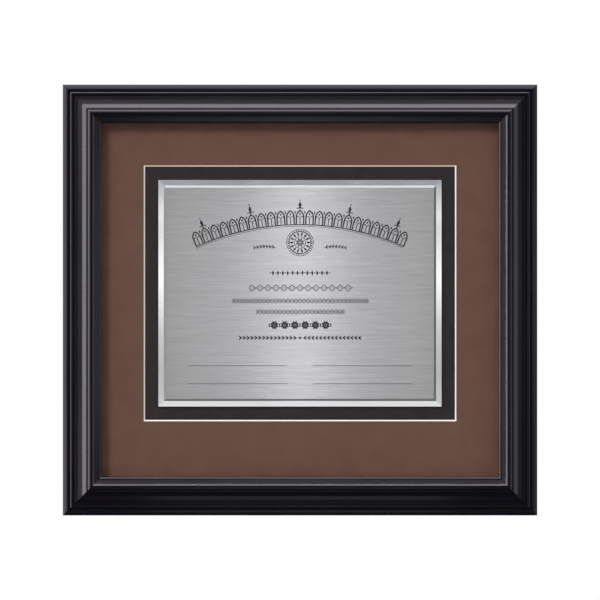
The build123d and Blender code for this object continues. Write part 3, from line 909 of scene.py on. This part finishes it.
for name, strokes, height, count, pitch in (
        ("upper_diamonds", diamonds, 18.2, 12, 4.4),
        ("quatrefoils", quatrefoils, 4.8, 13, 7.2),
        ("long_strands", strands, -6.9, 17, strand_pitch),
        ("short_strands", strands, -16.7, 11, strand_pitch),
        ("flowers", flowers, -28.6, 6, 9.2)):
    etch(f"etched_band_{name}", strokes, 0, height, count, pitch)
laurel_height, laurel_count, laurel_pitch, laurel_gap = -40.0, 15, 3.5, 0.6
for side, way in (("left", -1), ("right", 1)):
    laurel = leafy(way, stem=laurel_pitch, reach=3.3, spread=2.1, width=1.15, bow=-0.4)
    laurel_middle = way * (laurel_count + laurel_gap) * laurel_pitch / 2
    etch(f"etched_band_laurel_{side}", laurel, laurel_middle, laurel_height, laurel_count, laurel_pitch)
etch("etched_laurel_knot", [dot((0, 0), 1.1)], 0, laurel_height)
ruled_width = 0.45
ruled = [straight((low, level), (high, level), ruled_width, ruled_width)
         for level in (-65.1, -81.2) for low, high in ((-100.4, -11.6), (11.6, 101.2))]
etch("etched_ruled_lines", ruled, 0, 0)

# Filler board: grey chipboard, cut square and laid in loose. It takes up the depth behind the mat
# and the plaque's board.
chipboard = mottled("grey_chipboard", clouds=140.0, specks=1400.0, dark=(0.2, 0.195, 0.18),
                    light=(0.36, 0.35, 0.33), relief=0.4, depth=0.15 * mm, Roughness=0.9,
                    Specular_IOR_Level=0.2)
dress(chipboard, "filler_board")

# Backing: tempered hardboard, pressed from brown fibres, with its smooth face to the wall. Fine
# bundles of fibre lie in all directions, and steam has left darker clouds.
bundle_leans = (15, 75, 135)
bundle_tone = (0.31, 0.19, 0.1, 1)
bundle_share = 0.6
hardboard, tree, shader, place = new_material("tempered_hardboard", Specular_IOR_Level=0.2)
pressed = placed_group(tree, mottle, Vector=place, Cloud_Scale=500.0, Speck_Scale=1600.0,
                       Dark=(0.1, 0.05, 0.024, 1), Light=(0.165, 0.09, 0.046, 1))
bundles = 0.0
for lean in bundle_leans:
    laid = add_node(tree, "ShaderNodeMapping", vector_type="TEXTURE", Vector=place,
                    Rotation=(0, math.radians(lean), 0))
    fibres = placed_group(tree, grain, Vector=laid, Length_Scale=220.0, Width_Scale=1500.0)
    bundles = calculate(tree, "MAXIMUM", bundles, ranged(tree, fibres["Value"], low=0.58, high=0.72))
shown_bundles = times(tree, bundles, bundle_share)
feed(tree, shader, Base_Color=blended(tree, shown_bundles, pressed["Color"], bundle_tone),
     Roughness=smudged(tree, place, low=0.42, high=0.6, scale=12.0),
     Normal=raised(tree, pressed["Height"], strength=0.3, depth=0.1 * mm))
dress(hardboard, "backing_board")

# Turn buttons: pear-shaped plates blanked from zinc-plated steel, each with a pressed rib. They
# swing off the backing on their screws.
zinc_dark, zinc_light = (0.56, 0.575, 0.59, 1), (0.7, 0.705, 0.7, 1)
zinc, tree, shader, place = new_material("zinc_plated_steel", Metallic=1.0)
crystals = add_node(tree, "ShaderNodeTexVoronoi", Vector=place, Scale=420.0)
spangle = add_node(tree, "ShaderNodeSeparateColor", Color=crystals.outputs["Color"])
tumbled = placed_group(tree, grain, Vector=place, Length_Scale=60.0, Width_Scale=1500.0)
feed(tree, shader, Base_Color=blended(tree, spangle, zinc_dark, zinc_light),
     Roughness=smudged(tree, place, low=0.24, high=0.4, scale=160.0),
     Normal=raised(tree, tumbled["Value"], strength=0.08, depth=0.02 * mm))
button_joints = [joint for joint in frame["joints"] if joint["child"].startswith("button_")]
for joint in button_joints:
    eased(f"turn_{joint['child']}", joint["child"], zinc, edge=0.18 * mm)

# Screws and tacks: headed, pointed and bright-plated steel, driven in from behind. A domed head
# sits on a plain shank, and the screws have a cross recess. One tree drives them all.
driven, given, driven_out = new_group(
    "GeometryNodeTree", "driven_fasteners",
    {"Places": "Geometry", "Head Radius": "Float", "Head Height": "Float", "Rim Height": "Float",
     "Shank Radius": "Float", "Shank Length": "Float", "Cross Recess": "Bool", "Steel": "Material"},
    {"Geometry": "Geometry"})
tree = driven

# The head starts as a cylinder one metre deep, whose top end is raised into a dome.
dome_power = 2.4
blank = add_node(tree, "GeometryNodeMeshCylinder", fill_type="TRIANGLE_FAN", Vertices=32, Fill_Segments=8,
                 Radius=given["Head Radius"], Depth=1.0)
x, y, z = point_parts(tree)
square = calculate(tree, "ADD", times(tree, x, x), times(tree, y, y))
reach_share = calculate(tree, "DIVIDE", calculate(tree, "SQRT", square), given["Head Radius"])
crown = calculate(tree, "SUBTRACT", 1.0, calculate(tree, "POWER", reach_share, dome_power))
dome = calculate(tree, "SUBTRACT", given["Head Height"], given["Rim Height"])
top = calculate(tree, "MULTIPLY_ADD", crown, dome, given["Rim Height"])
is_top = calculate(tree, "GREATER_THAN", z, 0.0)
head = moved(tree, blank, x, y, times(tree, is_top, top))

# Two tapered bars, wider at the top, cut the cross recess.
recess_span, recess_width, recess_depth = 3.1 * mm, 0.8 * mm, 1.15 * mm
recess_taper = 0.22
recessed = head
for bar_size in ((recess_span, recess_width), (recess_width, recess_span)):
    bar = add_node(tree, "GeometryNodeMeshCube", Size=(*bar_size, 2 * recess_depth))
    x, y, z = point_parts(tree)
    narrowing = calculate(tree, "MULTIPLY_ADD", calculate(tree, "SIGN", z), recess_taper, 1 - recess_taper)
    tapered = moved(tree, bar, times(tree, x, narrowing), times(tree, y, narrowing),
                    calculate(tree, "ADD", z, given["Head Height"]))
    recessed = add_node(tree, "GeometryNodeMeshBoolean", operation="DIFFERENCE", solver="EXACT",
                        Mesh_1=recessed, Mesh_2=tapered)
chosen = add_node(tree, "GeometryNodeSwitch", input_type="GEOMETRY", Switch=given["Cross Recess"],
                  **{"False": head, "True": recessed})

# The shank hangs from the head's underside, and its last ring is drawn in to a point.
last_ring = -0.49
point_share = 0.2
rod = add_node(tree, "GeometryNodeMeshCylinder", Vertices=20, Side_Segments=10,
               Radius=given["Shank Radius"], Depth=1.0)
x, y, z = point_parts(tree)
is_last = calculate(tree, "LESS_THAN", z, last_ring)
drawn_in = calculate(tree, "MULTIPLY_ADD", is_last, point_share - 1, 1.0)
below_head = calculate(tree, "SUBTRACT", z, 0.5)
shank = moved(tree, rod, times(tree, x, drawn_in), times(tree, y, drawn_in),
              times(tree, below_head, given["Shank Length"]))
fastener = add_node(tree, "GeometryNodeJoinGeometry")
join(tree, shank, fastener.inputs[0])
join(tree, chosen, fastener.inputs[0])
spin = add_node(tree, "FunctionNodeRandomValue", data_type="FLOAT", Seed=7)
join(tree, 0.0, spin.inputs[2])
join(tree, math.pi, spin.inputs[3])
into_back = add_node(tree, "FunctionNodeEulerToRotation",
                     Euler=joined(tree, math.radians(-90), spin.outputs[1]))
set_in = add_node(tree, "GeometryNodeInstanceOnPoints", Points=given["Places"], Instance=fastener,
                  Rotation=into_back)
feed(tree, driven_out, Geometry=ended(tree, set_in, given["Steel"]))

steel_dark, steel_light = (0.66, 0.665, 0.68, 1), (0.8, 0.8, 0.8, 1)
bright_steel, tree, shader, place = new_material("bright_plated_steel", Metallic=1.0)
feed(tree, shader, Base_Color=blended(tree, noise(tree, place, scale=900.0), steel_dark, steel_light),
     Roughness=smudged(tree, place, low=0.16, high=0.3, scale=500.0))


def drive(name, node, places, head_radius, head_height, rim_height, shank_radius, cross_recess):
    """Drives like fasteners in at their places, in the stead of a model node."""
    low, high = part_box(node)
    seat = high.y - head_height
    group = make_mesh(name, [(x, seat, z) for x, z in places], [], None)
    shape_by(group, driven, Head_Radius=head_radius, Head_Height=head_height, Rim_Height=rim_height,
             Shank_Radius=shank_radius, Shank_Length=seat - low.y, Cross_Recess=cross_recess,
             Steel=bright_steel)
    made_plain(group)
    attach(group, "frame")
    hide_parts(node)


screw_places = [(joint["pos_m"][0], joint["pos_m"][2]) for joint in button_joints]
drive("pan_head_screws", "turn_button_screws", screw_places, head_radius=2.8 * mm, head_height=1.6 * mm,
      rim_height=0.7 * mm, shank_radius=1.5 * mm, cross_recess=True)

# Hangers: sawtooth strips of zinc-plated steel, joggled off the top rail and tacked down at each
# foot. The teeth point down over the wall nail.
hanger_foot = 7.5 * mm
tack_places = []
for side in ("left", "right"):
    low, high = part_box(f"sawtooth_hanger_{side}")
    tack_places += [(x, (low.z + high.z) / 2) for x in (low.x + hanger_foot / 2, high.x - hanger_foot / 2)]
    eased(f"sawtooth_hanger_{side}", "frame", zinc, edge=0.1 * mm)
drive("hanger_tack_heads", "hanger_tacks", tack_places, head_radius=1.9 * mm, head_height=0.9 * mm,
      rim_height=0.3 * mm, shank_radius=0.8 * mm, cross_recess=False)

# Bumpers: discs of moulded black rubber, stuck to the bottom rail's corners. They hold the foot
# of the frame off the wall, so that it hangs plumb.
rubber = mottled("moulded_rubber", clouds=180.0, specks=2400.0, dark=(0.016, 0.016, 0.017),
                 light=(0.036, 0.036, 0.038), relief=0.4, depth=0.12 * mm, Specular_IOR_Level=0.3,
                 Roughness=0.75)
for side in ("left", "right"):
    eased(f"wall_bumper_{side}", "frame", rubber, edge=0.4 * mm)
